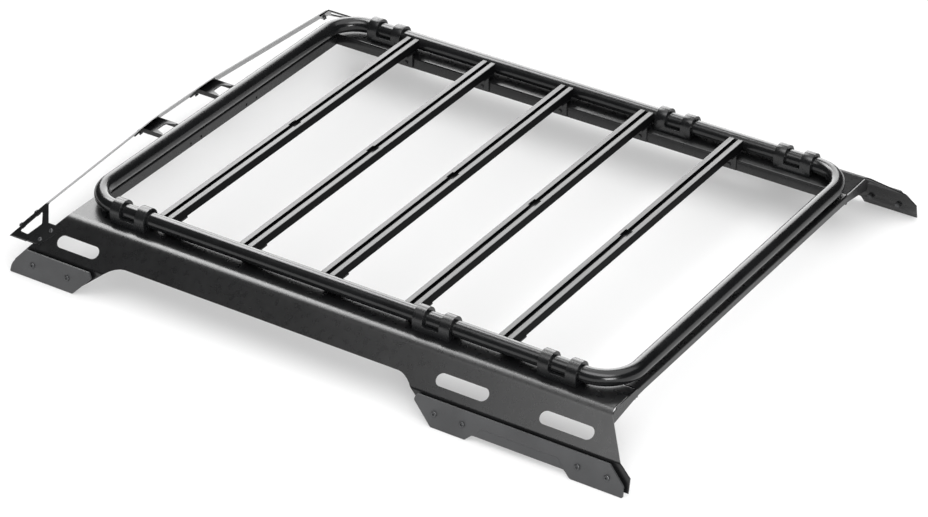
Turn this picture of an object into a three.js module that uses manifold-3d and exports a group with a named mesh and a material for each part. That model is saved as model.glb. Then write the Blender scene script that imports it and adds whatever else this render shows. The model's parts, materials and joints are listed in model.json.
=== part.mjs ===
// Open roof rack: a tube rail on saddles, two folded side panels on clamp feet,
// five slotted cross bars, two cross members and a front wind fairing.
// Millimetres, +Z up. X runs across the vehicle, -Y is its front, +Y its rear.
// Everything is laid out from the middle of the rail loop, then the whole
// group is moved so that it stands on Z = 0 with its footprint centred.

import * as THREE from "three";
import { mergeVertices } from "three/addons/utils/BufferGeometryUtils.js";
import Module from "manifold-3d";

// ---- driving dimensions -------------------------------------------------

const GAP = 0.35; // clearance between pieces that touch

const RAIL_DIAMETER = 38.1;
const RAIL_WALL = 2;
const RAIL_HALF_WIDTH = 520;
const RAIL_HALF_LENGTH = 716.5;
const RAIL_CORNER_RADIUS = 84;
const RAIL_HEIGHT = 157.7; // tube axis above the ground

const SHEET = 3; // side panels and cross members
const PANEL_TOP = -24.3;
const PANEL_INNER_EDGE = 475.8;
const LIP_BOTTOM = -52.5;
const SLOPE_POINT = [585, -33.5]; // a point on the sloping wall
const SLOPE_ANGLE = THREE.MathUtils.degToRad(40.2);
const SHOULDER_RADIUS = 41.6;
const FLANGE_CORNER_X = 652.5; // where the wall turns down to the foot
const FLANGE_TILT = THREE.MathUtils.degToRad(11);
const FLANGE_BOTTOM = -150;
const PANEL_FRONT = -733;
const PANEL_REAR = 732.4;

const SLOT_WIDTH = 31.6;
const SLOT_X = 622.5;
const HAND_SLOTS = [
  { y: -667.5, length: 119 },
  { y: 385.4, length: 135 },
  { y: 650, length: 135 },
];

const PLATE_THICKNESS = 5;
const PLATE_STANDOFF = 6; // space between a foot plate and its flange
const PLATE_TOP = -92.7;
const PLATE_RECESS = 0.8;
const FOOT_BOLT_Z = -125.6;
const FRONT_FOOT_BOLTS = [-767, -666];
const REAR_FOOT_BOLTS = [344, 416, 707, 780];

const SADDLE_CENTRES = [-581, 253, 576];
const SADDLE_LENGTH = 97;
const SADDLE_BAND = 27;
const SADDLE_RADIUS = 27.4;
const SADDLE_SIDE_TOP = -8;
const SADDLE_STUD_OFFSET = 35;

const BAR_CENTRES = [-498.5, -273.5, -48.5, 176.5, 421.5];
const BAR_WIDTH = 38;
const BAR_HEIGHT = 22;
const BAR_TOP = 13.5;
const SLOT_NECK = 11;
const SLOT_CHANNEL = 18;
const SLOT_DEPTH = 9;
const SLOT_LIP = 3;
const NUT_NOTCH = [28, 19];

const MEMBER_FACE_BOTTOM = -42.4;
const MEMBER_GUSSET_BOTTOM = -60;
const MEMBER_GUSSET_X = 561; // outer end of the top edge, level with the panel's top
const GUSSET_EDGE_X = 576; // outer edge, tucked under the sloping wall
const FRONT_LIP_Y = -710.7;

const FAIRING_SHEET = 2.5;
const FAIRING_TOP = -21.7;
const FAIRING_BOTTOM = -77;
const FAIRING_TOP_HALF = 563;
const FAIRING_BOTTOM_HALF = 635;
const FAIRING_FRONT_Y = -836.3; // top edge of the middle facet
const FAIRING_KINK = 118; // half width of the middle facet
const FAIRING_SWEEP = 0.072; // how fast the outer facets run back
const FAIRING_RAKE = 0.94; // forward run for each mm of drop

const MID_BRACKET_X = 112.7;
const MID_BRACKET_WIDTH = 64;
const TAB_Z = -44; // bolts of the middle brackets' tabs
const MID_BRACKET_BOLTS = [92, 133];

const FOOT_BOLT_HOLE = 4.4; // radii
const STUD_HOLE = 3.4;
const SMALL_BOLT_HOLE = 3.35;
const DRAIN_HOLE = 3;
const DRAIN_X = 60;
const BAR_BOLT_Z = -40;

const FOOTPRINT_SHIFT = 30; // moves the middle of the length to Y = 0

const ARC_STEP = 0.4; // turn of each facet of a rounded corner, radians
const TUBE_SIDES = 16;
const BOLT_SIDES = 8;

// Ranges that reach past the whole rack, for sheets trimmed to an outline.
const ALL_X = [-680, 680];
const ALL_Y = [-960, 840];
const FAIRING_Y = [-960, -700];

const AXIS_X = new THREE.Vector3(1, 0, 0);
const AXIS_Y = new THREE.Vector3(0, 1, 0);
const AXIS_Z = new THREE.Vector3(0, 0, 1);

// ---- solids helpers -----------------------------------------------------

const wasm = await Module();
wasm.setup();

function solid(geometry) {
  geometry.deleteAttribute("normal");
  geometry.deleteAttribute("uv");
  const merged = mergeVertices(geometry, 1e-4);
  return new wasm.Manifold(
    new wasm.Mesh({
      numProp: 3,
      vertProperties: new Float32Array(merged.attributes.position.array),
      triVerts: new Uint32Array(merged.index.array),
    }),
  );
}

function geometryOf(manifold) {
  const mesh = manifold.getMesh();
  const geometry = new THREE.BufferGeometry();
  geometry.setAttribute("position", new THREE.BufferAttribute(mesh.vertProperties, 3));
  geometry.setIndex(new THREE.BufferAttribute(mesh.triVerts, 1));
  geometry.computeVertexNormals();
  return geometry;
}

const join = (parts) => wasm.Manifold.union(parts);
const cut = (body, tools) => body.subtract(join(tools));

function box([x0, x1], [y0, y1], [z0, z1]) {
  const geometry = new THREE.BoxGeometry(x1 - x0, y1 - y0, z1 - z0);
  return solid(geometry.translate((x0 + x1) / 2, (y0 + y1) / 2, (z0 + z1) / 2));
}

// A shape whose outline runs anticlockwise, so that its holes are turned to suit.
function shapeOf(points, holes = []) {
  const vectors = (list) => list.map(([x, y]) => new THREE.Vector2(x, y));
  const outline = vectors(points);
  const anticlockwise = THREE.ShapeUtils.isClockWise(outline) ? outline.reverse() : outline;
  const shape = new THREE.Shape(anticlockwise);
  shape.holes = holes.map((hole) => new THREE.Path(vectors(hole)));
  return shape;
}

function extrude(points, depth, matrix, holes) {
  const settings = { depth, bevelEnabled: false, steps: 1 };
  const geometry = new THREE.ExtrudeGeometry(shapeOf(points, holes), settings);
  return solid(geometry.applyMatrix4(matrix));
}

// A section drawn in (x, z), run along Y.
function alongY(points, [y0, y1], holes) {
  const turn = new THREE.Matrix4().makeRotationX(Math.PI / 2).setPosition(0, y1, 0);
  return extrude(points, y1 - y0, turn, holes);
}

// An outline drawn in (y, z), run along X.
function alongX(points, [x0, x1], holes) {
  const turn = new THREE.Matrix4().makeBasis(AXIS_Y, AXIS_Z, AXIS_X).setPosition(x0, 0, 0);
  return extrude(points, x1 - x0, turn, holes);
}

// An outline drawn in (x, y), raised along Z on a plane that may lean:
// z = height + lean[0] * x + lean[1] * y.
function leaningPlate(points, height, depth, lean = [0, 0], holes = []) {
  const [x, y] = lean;
  const matrix = new THREE.Matrix4().set(1, 0, 0, 0, 0, 1, 0, 0, x, y, 1, height, 0, 0, 0, 1);
  return extrude(points, depth, matrix, holes);
}

// A corner list with each corner rounded to its radius (0 keeps it sharp).
function rounded(corners, closed = true) {
  const out = [];
  const count = corners.length;
  corners.forEach(([x, y, radius = 0], i) => {
    const isEnd = !closed && (i === 0 || i === count - 1);
    if (!radius || isEnd) {
      out.push([x, y]);
      return;
    }
    const here = new THREE.Vector2(x, y);
    const before = corners[(i + count - 1) % count];
    const after = corners[(i + 1) % count];
    const back = new THREE.Vector2(before[0] - x, before[1] - y).normalize();
    const ahead = new THREE.Vector2(after[0] - x, after[1] - y).normalize();
    const half = Math.acos(THREE.MathUtils.clamp(back.dot(ahead), -1, 1)) / 2;
    const middle = back.clone().add(ahead).normalize();
    const centre = here.clone().addScaledVector(middle, radius / Math.sin(half));
    const from = here.clone().addScaledVector(back, radius / Math.tan(half)).sub(centre);
    const turn = Math.sign(back.cross(ahead)) * -(Math.PI - 2 * half);
    const steps = Math.max(2, Math.ceil(Math.abs(turn) / ARC_STEP));
    for (let step = 0; step <= steps; step += 1) {
      const arm = from.clone().rotateAround(new THREE.Vector2(), (turn * step) / steps);
      out.push([centre.x + arm.x, centre.y + arm.y]);
    }
  });
  return out;
}

// A folded sheet's section: its outer corners, each with a bend radius, and
// the sheet's thickness laid on their right-hand side.
function foldedSection(corners, thickness) {
  const lines = corners.slice(1).map(([x, y], i) => {
    const along = new THREE.Vector2(x - corners[i][0], y - corners[i][1]).normalize();
    return new THREE.Vector2(along.y, -along.x);
  });
  const inner = corners.map(([x, y, radius = 0], i) => {
    const a = lines[Math.max(i - 1, 0)];
    const b = lines[Math.min(i, lines.length - 1)];
    const scale = thickness / (1 + a.dot(b));
    return [x + (a.x + b.x) * scale, y + (a.y + b.y) * scale, Math.max(radius - thickness, 0)];
  });
  return [...rounded(corners, false), ...rounded(inner, false).reverse()];
}

function circle(radius, sides) {
  return Array.from({ length: sides }, (_, i) => {
    const angle = ((i + 0.5) * 2 * Math.PI) / sides;
    return [radius * Math.cos(angle), radius * Math.sin(angle)];
  });
}

// A turned solid: profile of (radius, distance) turned about an axis that
// starts at a point and runs in a direction.
function turned(profile, start, direction, sides = BOLT_SIDES) {
  const points = profile.map(([radius, height]) => new THREE.Vector2(radius, height));
  const geometry = new THREE.LatheGeometry(points, sides);
  const spin = new THREE.Quaternion().setFromUnitVectors(AXIS_Y, direction.clone().normalize());
  geometry.applyQuaternion(spin).translate(start.x, start.y, start.z);
  return solid(geometry);
}

function rod(radius, length, start, direction, sides = BOLT_SIDES) {
  const profile = [[0, 0], [radius, 0], [radius, length], [0, length]];
  return turned(profile, start, direction, sides);
}

// A round tool through a point, reaching the same way to both sides.
function drill(radius, point, direction, reach = 14) {
  return rod(radius, 2 * reach, point.clone().addScaledVector(direction, -reach), direction);
}

const mirrored = (body) => body.mirror([1, 0, 0]);

// ---- materials ----------------------------------------------------------

const finishes = {
  coat: { color: 0x17181a, roughness: 0.34, metalness: 0.2 },
  tube: { color: 0x141517, roughness: 0.24, metalness: 0.25 },
  plate: { color: 0x3a3b3d, roughness: 0.42, metalness: 0.35 },
  cast: { color: 0x121314, roughness: 0.3, metalness: 0.15 },
  bar: { color: 0x101113, roughness: 0.38, metalness: 0.45 },
  steel: { color: 0x2a2b2d, roughness: 0.4, metalness: 0.7 },
};

const rack = new THREE.Group();

function add(name, body, finish) {
  const material = new THREE.MeshStandardMaterial(finishes[finish]);
  const mesh = new THREE.Mesh(geometryOf(body), material);
  mesh.name = name;
  rack.add(mesh);
}

// Both sides of the rack: +X is the left side of the vehicle.
const SIDES = [
  { name: "left", place: (body) => body },
  { name: "right", place: mirrored },
];
const ENDS = ["front", "middle", "rear"];

// ---- rail loop ----------------------------------------------------------

// A route through given points, whose tangent at a point halves the turn
// between the stretches before and after it.
class RailRoute extends THREE.Curve {
  constructor(points) {
    super();
    this.points = points;
  }

  indexAt(t) {
    return Math.round(t * (this.points.length - 1));
  }

  getPointAt(t) {
    return this.points[this.indexAt(t)].clone();
  }

  getTangentAt(t) {
    const i = this.indexAt(t);
    const here = this.points[i];
    const before = this.points[i - 1] ?? here;
    const after = this.points[i + 1] ?? here;
    const arriving = here.clone().sub(before).normalize();
    return arriving.add(after.clone().sub(here).normalize()).normalize();
  }
}

// A bar of round section along half of the loop, a little past the middle at both ends.
function railHalf(radius) {
  const past = 5;
  const corners = [
    [-past, -RAIL_HALF_LENGTH],
    [RAIL_HALF_WIDTH, -RAIL_HALF_LENGTH, RAIL_CORNER_RADIUS],
    [RAIL_HALF_WIDTH, RAIL_HALF_LENGTH, RAIL_CORNER_RADIUS],
    [-past, RAIL_HALF_LENGTH],
  ];
  const points = rounded(corners, false).map(([x, y]) => new THREE.Vector3(x, y, 0));
  const section = shapeOf(circle(radius, TUBE_SIDES));
  const extrudePath = new RailRoute(points);
  const settings = { extrudePath, steps: points.length - 1, bevelEnabled: false };
  return solid(new THREE.ExtrudeGeometry(section, settings));
}

// One welded loop of tube, open to its bore through two drain holes under each end.
function railLoop() {
  const drains = [-RAIL_HALF_LENGTH, RAIL_HALF_LENGTH].map((y) =>
    rod(DRAIN_HOLE, RAIL_DIAMETER, new THREE.Vector3(DRAIN_X, y, -RAIL_DIAMETER), AXIS_Z),
  );
  const bore = railHalf(RAIL_DIAMETER / 2 - RAIL_WALL);
  const tube = cut(railHalf(RAIL_DIAMETER / 2), [bore, ...drains]);
  const half = tube.intersect(box([0, ALL_X[1]], ALL_Y, [-RAIL_DIAMETER, RAIL_DIAMETER]));
  return join([half, mirrored(half)]);
}

add("rail_loop", railLoop(), "tube");

// ---- side panels --------------------------------------------------------

const slopeZ = (x) => SLOPE_POINT[1] - Math.tan(SLOPE_ANGLE) * (x - SLOPE_POINT[0]);
const slopeOut = new THREE.Vector3(Math.sin(SLOPE_ANGLE), 0, Math.cos(SLOPE_ANGLE));
const slopeDown = new THREE.Vector3(Math.cos(SLOPE_ANGLE), 0, -Math.sin(SLOPE_ANGLE));
const flangeOut = new THREE.Vector3(Math.cos(FLANGE_TILT), 0, Math.sin(FLANGE_TILT));
const flangeCornerZ = slopeZ(FLANGE_CORNER_X);

// X at a height on a plane that lies this far outside the foot flange.
function flangeX(z, out = 0) {
  return FLANGE_CORNER_X + (flangeCornerZ - z) * Math.tan(FLANGE_TILT) + out / Math.cos(FLANGE_TILT);
}

const flangePoint = (y, z) => new THREE.Vector3(flangeX(z), y, z);

// Where a tab of each fairing end bracket is bolted to the sloping wall.
const TAB_BOLTS = [
  [612, -752],
  [633, -769],
].map(([x, y]) => new THREE.Vector3(x, y, slopeZ(x)));

const panelSection = foldedSection(
  [
    [PANEL_INNER_EDGE, LIP_BOTTOM],
    [PANEL_INNER_EDGE, PANEL_TOP, 5],
    [SLOPE_POINT[0] - (PANEL_TOP - SLOPE_POINT[1]) / Math.tan(SLOPE_ANGLE), PANEL_TOP, SHOULDER_RADIUS],
    [FLANGE_CORNER_X, flangeCornerZ, 10],
    [flangeX(-175), -175],
  ],
  SHEET,
);

// The panel seen from the side: (y, z), with a foot at each end.
const panelOutline = rounded([
  [PANEL_FRONT, 5],
  [PANEL_REAR, 5],
  [PANEL_REAR, -25.5],
  [828.5, -116, 22],
  [828.5, FLANGE_BOTTOM, 8],
  [690, FLANGE_BOTTOM, 10],
  [680, -137, 6],
  [436, -137, 6],
  [426, FLANGE_BOTTOM, 10],
  [331, FLANGE_BOTTOM, 14],
  [251, -73.7, 66],
  [-551, -73.7, 74],
  [-645, FLANGE_BOTTOM, 14],
  [-829, FLANGE_BOTTOM, 8],
  [-826, -129, 30],
  [PANEL_FRONT, -27],
]);

function handSlot({ y, length }) {
  const [u, v] = [length / 2, SLOT_WIDTH / 2];
  const radius = v - 0.01;
  const outline = rounded([
    [-u, -v, radius],
    [u, -v, radius],
    [u, v, radius],
    [-u, v, radius],
  ]);
  const reach = 8;
  const inward = slopeOut.clone().negate();
  const start = new THREE.Vector3(SLOT_X, y, slopeZ(SLOT_X)).addScaledVector(slopeOut, reach);
  const turn = new THREE.Matrix4().makeBasis(AXIS_Y, slopeDown, inward).setPosition(start);
  return extrude(outline, 2 * reach, turn);
}

// The panel, whose top and lip stop at the two cross members while its
// sloping wall runs on to the ends of the feet.
function sidePanel() {
  const body = alongY(panelSection, ALL_Y).intersect(alongX(panelOutline, [0, ALL_X[1] + 20]));
  const topAndLip = [PANEL_INNER_EDGE - 1, MEMBER_GUSSET_X + 2];
  const lipHeights = [LIP_BOTTOM - 8, 0];
  const footBolts = [...FRONT_FOOT_BOLTS, ...REAR_FOOT_BOLTS];
  const studs = SADDLE_CENTRES.flatMap((y) => [y - SADDLE_STUD_OFFSET, y + SADDLE_STUD_OFFSET])
    .map((y) => new THREE.Vector3(RAIL_HALF_WIDTH, y, PANEL_TOP));
  const barBolts = BAR_CENTRES.map((y) => new THREE.Vector3(PANEL_INNER_EDGE, y, BAR_BOLT_Z));
  return cut(body, [
    box(topAndLip, [ALL_Y[0], PANEL_FRONT], lipHeights),
    box(topAndLip, [PANEL_REAR, ALL_Y[1]], lipHeights),
    ...HAND_SLOTS.map(handSlot),
    ...footBolts.map((y) => drill(FOOT_BOLT_HOLE, flangePoint(y, FOOT_BOLT_Z), flangeOut)),
    ...studs.map((point) => drill(STUD_HOLE, point, AXIS_Z)),
    ...TAB_BOLTS.map((point) => drill(SMALL_BOLT_HOLE, point, slopeOut)),
    ...barBolts.map((point) => drill(SMALL_BOLT_HOLE, point, AXIS_X)),
  ]);
}

const panel = sidePanel();
SIDES.forEach(({ name, place }) => add(`${name}_side_panel`, place(panel), "coat"));

// ---- clamp feet ---------------------------------------------------------

const FRONT_PLATE_OUTLINE = rounded([
  [-791, PLATE_TOP, 4],
  [-605, PLATE_TOP, 5],
  [-598.5, -106, 4],
  [-649, -RAIL_HEIGHT, 3],
  [-832, -RAIL_HEIGHT, 3],
  [-828, -136, 36],
]);

const REAR_PLATE_OUTLINE = rounded([
  [294, PLATE_TOP, 5],
  [782, PLATE_TOP, 5],
  [820.5, -132, 10],
  [821.5, -RAIL_HEIGHT, 3],
  [691, -RAIL_HEIGHT, 10],
  [676, -142.8, 10],
  [442, -142.8, 3],
  [425.5, -RAIL_HEIGHT, 5],
  [337, -RAIL_HEIGHT, 6],
  [289, -108, 6],
]);

// The middle of a rear plate is milled a little lower than its two ends.
const REAR_PLATE_RECESS = [
  [441, -144],
  [462, -119],
  [660, -119],
  [677, -144],
];

const faceOfPlate = PLATE_STANDOFF + PLATE_THICKNESS;

// A slab parallel to the foot flange, between two distances outside it.
function flangeSlab(outline, [inner, outer]) {
  const [top, bottom] = [-60, -RAIL_HEIGHT - 20];
  const section = [
    [flangeX(bottom, inner), bottom],
    [flangeX(bottom, outer), bottom],
    [flangeX(top, outer), top],
    [flangeX(top, inner), top],
  ];
  return alongY(section, ALL_Y).intersect(alongX(outline, [0, ALL_X[1] + 80]));
}

function footPlate(outline, bolts) {
  const plate = flangeSlab(outline, [PLATE_STANDOFF, faceOfPlate]);
  const reach = faceOfPlate + 9;
  return cut(
    plate,
    bolts.map((y) => drill(FOOT_BOLT_HOLE, flangePoint(y, FOOT_BOLT_Z), flangeOut, reach)),
  );
}

const frontPlate = footPlate(FRONT_PLATE_OUTLINE, FRONT_FOOT_BOLTS);
const rearPlate = cut(footPlate(REAR_PLATE_OUTLINE, REAR_FOOT_BOLTS), [
  flangeSlab(REAR_PLATE_RECESS, [faceOfPlate - PLATE_RECESS, faceOfPlate + 2]),
]);

// A foot bolt from its nut behind the flange, past the spacer collar that
// holds the plate off, to its button head on the plate.
function footBolt(y) {
  const shank = FOOT_BOLT_HOLE - GAP;
  const behind = -SHEET - GAP;
  const ahead = faceOfPlate + GAP;
  const profile = [
    [0, behind - 6],
    [6.6, behind - 6],
    [6.6, behind],
    [shank, behind],
    [shank, GAP],
    [7.5, GAP],
    [7.5, PLATE_STANDOFF - GAP],
    [shank, PLATE_STANDOFF - GAP],
    [shank, ahead],
    [6.8, ahead],
    [6.2, ahead + 2.2],
    [3.6, ahead + 3.9],
    [0, ahead + 3.9],
  ];
  return turned(profile, flangePoint(y, FOOT_BOLT_Z), flangeOut);
}

// A row of like bolts, numbered from the front or from the middle outwards.
function addBolts(name, place, bolts) {
  bolts.forEach((bolt, i) => add(`${name}_bolt_${i + 1}`, place(bolt), "steel"));
}

SIDES.forEach(({ name, place }) => {
  add(`front_${name}_foot_plate`, place(frontPlate), "plate");
  add(`rear_${name}_foot_plate`, place(rearPlate), "plate");
  addBolts(`front_${name}_foot`, place, FRONT_FOOT_BOLTS.map(footBolt));
  addBolts(`rear_${name}_foot`, place, REAR_FOOT_BOLTS.map(footBolt));
});

// ---- saddles ------------------------------------------------------------

// A cast saddle: two bands over the tube, a solid base under it and two
// studs with nuts that go down through the panel.
function saddle(yCentre) {
  const base = PANEL_TOP + GAP;
  const r = SADDLE_RADIUS;
  const facets = 10;
  const arch = Array.from({ length: facets + 1 }, (_, i) => {
    const angle = (i * Math.PI) / facets;
    return [r * Math.cos(angle), r * Math.sin(angle)];
  });
  const outline = [...arch, [-r, base], [r, base]];
  const bore = circle(RAIL_DIAMETER / 2 + GAP, TUBE_SIDES);
  const ends = [yCentre - SADDLE_LENGTH / 2, yCentre + SADDLE_LENGTH / 2];
  const windowEnds = [ends[0] + SADDLE_BAND, ends[1] - SADDLE_BAND];
  const body = alongY(outline, ends, [bore]);
  const opening = box([-r - 1, r + 1], windowEnds, [SADDLE_SIDE_TOP, r + 1]);
  const underPanel = PANEL_TOP - SHEET - GAP;
  const studs = [-SADDLE_STUD_OFFSET, SADDLE_STUD_OFFSET].map((offset) => {
    const profile = [
      [0, underPanel - 7],
      [STUD_HOLE - GAP, underPanel - 7],
      [STUD_HOLE - GAP, underPanel - 5],
      [5.6, underPanel - 5],
      [5.6, underPanel],
      [STUD_HOLE - GAP, underPanel],
      [STUD_HOLE - GAP, base + 1],
      [0, base + 1],
    ];
    return turned(profile, new THREE.Vector3(0, yCentre + offset, 0), AXIS_Z);
  });
  return join([cut(body, [opening]), ...studs]).translate([RAIL_HALF_WIDTH, 0, 0]);
}

SIDES.forEach(({ name, place }) => {
  SADDLE_CENTRES.forEach((y, i) => add(`${ENDS[i]}_${name}_saddle`, place(saddle(y)), "cast"));
});

// ---- cross bars ---------------------------------------------------------

const barBottom = BAR_TOP - BAR_HEIGHT;
const BAR_LOWER_SLOT = 7; // depth of the slot in a bar's underside

// The bar's section in (y, z), slotted above and below, with two hollow sides.
function barSection() {
  const [side, neck, channel] = [BAR_WIDTH / 2, SLOT_NECK / 2, SLOT_CHANNEL / 2];
  const right = [
    [channel, BAR_TOP - SLOT_DEPTH],
    [channel, BAR_TOP - SLOT_LIP],
    [neck, BAR_TOP - SLOT_LIP],
    [neck, BAR_TOP],
    [side, BAR_TOP, 2.2],
    [side, barBottom, 2.2],
    [neck, barBottom],
    [neck, barBottom + SLOT_LIP],
    [channel, barBottom + SLOT_LIP],
    [channel, barBottom + BAR_LOWER_SLOT],
  ];
  const flip = (points) => points.map(([y, z, radius]) => [-y, z, radius]);
  const outline = rounded([...right, ...flip(right).reverse()]);
  const chamber = [
    [channel + 2, BAR_TOP - 2],
    [side - 2, BAR_TOP - 2],
    [side - 2, barBottom + 2],
    [channel + 2, barBottom + 2],
  ];
  return { outline, holes: [chamber, flip(chamber)] };
}

function crossBar(yCentre) {
  const reach = RAIL_HALF_WIDTH - 14;
  const { outline, holes } = barSection();
  const body = alongX(outline, [-reach, reach], holes);
  const besideBar = new THREE.Vector3(RAIL_HALF_WIDTH, -30, 0);
  const cope = rod(RAIL_DIAMETER / 2 + 0.6, 60, besideBar, AXIS_Y, TUBE_SIDES);
  const [long, wide] = NUT_NOTCH.map((size) => size / 2);
  const notch = box([-long, long], [-wide, wide], [BAR_TOP - SLOT_LIP - 0.5, BAR_TOP + 1]);
  return cut(body, [cope, mirrored(cope), notch]).translate([0, yCentre, 0]);
}

// The bracket under each end of a bar: a pad, a leg against the panel's lip
// and a stand on the panel, with a T-stud up into the bar's lower slot and a
// stud and nut through the lip.
function barBracket(yCentre) {
  const thick = 3.5;
  const padTop = barBottom - GAP;
  const leg = [PANEL_INNER_EDGE - GAP - thick, PANEL_INNER_EDGE - GAP];
  const wide = [-BAR_WIDTH / 2, BAR_WIDTH / 2];
  const pad = box([450, 498], wide, [padTop - thick, padTop]);
  const lipLeg = box(leg, wide, [LIP_BOTTOM + 2, padTop - 1]);
  const stand = box([498 - thick, 498], wide, [PANEL_TOP + GAP, padTop - 1]);
  const tNeck = rod(4, SLOT_LIP + 3, new THREE.Vector3(463, 0, padTop - 1), AXIS_Z);
  const headBottom = barBottom + SLOT_LIP + GAP;
  const tHead = box([455, 471], [-7.5, 7.5], [headBottom, headBottom + 3]);
  const nutSide = PANEL_INNER_EDGE + SHEET + GAP;
  const boltProfile = [
    [0, leg[0] - 3],
    [5, leg[0] - 3],
    [5.6, leg[0] - 1],
    [5.6, leg[0] + 1],
    [SMALL_BOLT_HOLE - GAP, leg[0] + 1],
    [SMALL_BOLT_HOLE - GAP, nutSide],
    [5.6, nutSide],
    [5.6, nutSide + 5],
    [0, nutSide + 5],
  ];
  const bolt = turned(boltProfile, new THREE.Vector3(0, 0, BAR_BOLT_Z), AXIS_X);
  return join([pad, lipLeg, stand, tNeck, tHead, bolt]).translate([0, yCentre, 0]);
}

BAR_CENTRES.forEach((y, i) => {
  const bar = `cross_bar_${i + 1}`;
  add(bar, crossBar(y), "bar");
  SIDES.forEach(({ name, place }) => add(`${bar}_${name}_bracket`, place(barBracket(y)), "cast"));
});

// ---- cross members ------------------------------------------------------

const memberHalf = PANEL_INNER_EDGE - GAP;
const memberTab = (y, z) => box([memberHalf - SHEET, memberHalf], y, z);

// An angle under the front tube, its flange between the panels' lips.
function frontMember() {
  const section = foldedSection(
    [
      [PANEL_FRONT, PANEL_TOP],
      [FRONT_LIP_Y, PANEL_TOP, 5],
      [FRONT_LIP_Y, LIP_BOTTOM],
    ],
    SHEET,
  );
  const tab = memberTab([PANEL_FRONT + 2, FRONT_LIP_Y - 1], [LIP_BOTTOM + 2, PANEL_TOP - 1]);
  const body = join([alongX(section, [-memberHalf, memberHalf]), tab, mirrored(tab)]);
  const holes = MID_BRACKET_BOLTS.flatMap((x) => [-x, x]).map((x) =>
    drill(SMALL_BOLT_HOLE, new THREE.Vector3(x, FRONT_LIP_Y, TAB_Z), AXIS_Y),
  );
  return cut(body, holes);
}

// An angle under the rear tube, its face running on behind the panels' ends.
function rearMember() {
  const face = PANEL_REAR + SHEET + 0.9;
  const flange = foldedSection(
    [
      [face - 34, PANEL_TOP],
      [face, PANEL_TOP, 5],
      [face, MEMBER_FACE_BOTTOM],
    ],
    SHEET,
  );
  const x = MEMBER_GUSSET_X;
  const top = PANEL_TOP - 0.4;
  const underFold = PANEL_TOP - 5.5;
  const edge = GUSSET_EDGE_X;
  const right = [
    [memberHalf, underFold],
    [memberHalf, top],
    [x, top],
    [x, top - 4.2],
    [edge - 5, top - 6.4],
    [edge, top - 9],
    [edge, MEMBER_GUSSET_BOTTOM, 3],
    [edge - 106, MEMBER_FACE_BOTTOM, 300],
  ];
  const left = right.map(([across, z, radius]) => [-across, z, radius]).reverse();
  const outline = rounded([...left, ...right]);
  const back = alongY(outline, [face - SHEET, face]);
  const tab = memberTab([face - 32, face - 1], [LIP_BOTTOM + 4, PANEL_TOP - 1]);
  return join([alongX(flange, [-memberHalf, memberHalf]), back, tab, mirrored(tab)]);
}

add("front_cross_member", frontMember(), "coat");
add("rear_cross_member", rearMember(), "coat");

// ---- wind fairing -------------------------------------------------------

// Y of the fairing's front face along its top edge.
const fairingY = (x) => FAIRING_FRONT_Y + FAIRING_SWEEP * Math.max(Math.abs(x) - FAIRING_KINK, 0);
const fairingStretch = Math.hypot(1, FAIRING_RAKE); // level thickness of a raked sheet

// A three-facet raked sheet between two distances behind the fairing's front face.
function rakedSheet([front, back], [x0, x1]) {
  const kinks = [-FAIRING_KINK, FAIRING_KINK].filter((x) => x > x0 && x < x1);
  const stations = [x0, ...kinks, x1];
  const [near, far] = [front * fairingStretch, back * fairingStretch];
  const outline = [
    ...stations.map((x) => [x, fairingY(x) + near]),
    ...stations.reverse().map((x) => [x, fairingY(x) + far]),
  ];
  const [low, high] = [-110, 0];
  const rake = FAIRING_RAKE;
  const shift = rake * (low - FAIRING_TOP);
  const matrix = new THREE.Matrix4().set(1, 0, 0, 0, 0, 1, rake, shift, 0, 0, 1, low, 0, 0, 0, 1);
  return extrude(outline, high - low, matrix);
}

// A point on the sheet's front face, and the way out of that face.
function fairingPoint(x, z) {
  return new THREE.Vector3(x, fairingY(x) + FAIRING_RAKE * (z - FAIRING_TOP), z);
}

function fairingOut(x) {
  const sweep = Math.abs(x) > FAIRING_KINK ? Math.sign(x) * FAIRING_SWEEP : 0;
  return new THREE.Vector3(sweep, -1, FAIRING_RAKE).normalize();
}

// Bolts through the sheet, as (x, z) on its front face.
const MID_BOLTS = [
  [MID_BRACKET_X - 20, -58],
  [MID_BRACKET_X + 20, -58],
];
const END_BOLTS = [
  [576, -45.5],
  [607, -70.5],
];

const fairingHole = ([x, z]) => drill(SMALL_BOLT_HOLE, fairingPoint(x, z), fairingOut(x));

function fairing() {
  const outline = rounded([
    [-FAIRING_TOP_HALF, FAIRING_TOP, 10],
    [FAIRING_TOP_HALF, FAIRING_TOP, 10],
    [FAIRING_BOTTOM_HALF, FAIRING_BOTTOM, 10],
    [-FAIRING_BOTTOM_HALF, FAIRING_BOTTOM, 10],
  ]);
  const sheet = rakedSheet([0, FAIRING_SHEET], ALL_X).intersect(alongY(outline, FAIRING_Y));
  const bolts = [...MID_BOLTS, ...END_BOLTS].flatMap(([x, z]) => [
    [-x, z],
    [x, z],
  ]);
  return cut(sheet, bolts.map(fairingHole));
}

const BRACKET_SHEET = 3;
const behindFairing = FAIRING_SHEET + GAP;
const fairingStack = behindFairing + BRACKET_SHEET;
const tabStack = GAP + BRACKET_SHEET;
const inFrontOfBrackets = rakedSheet([-80, behindFairing], ALL_X);

// A flange of bracket sheet against the fairing's back, trimmed by a body.
function fairingFlange(across, trim) {
  return rakedSheet([behindFairing, fairingStack], across).intersect(trim);
}

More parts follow.
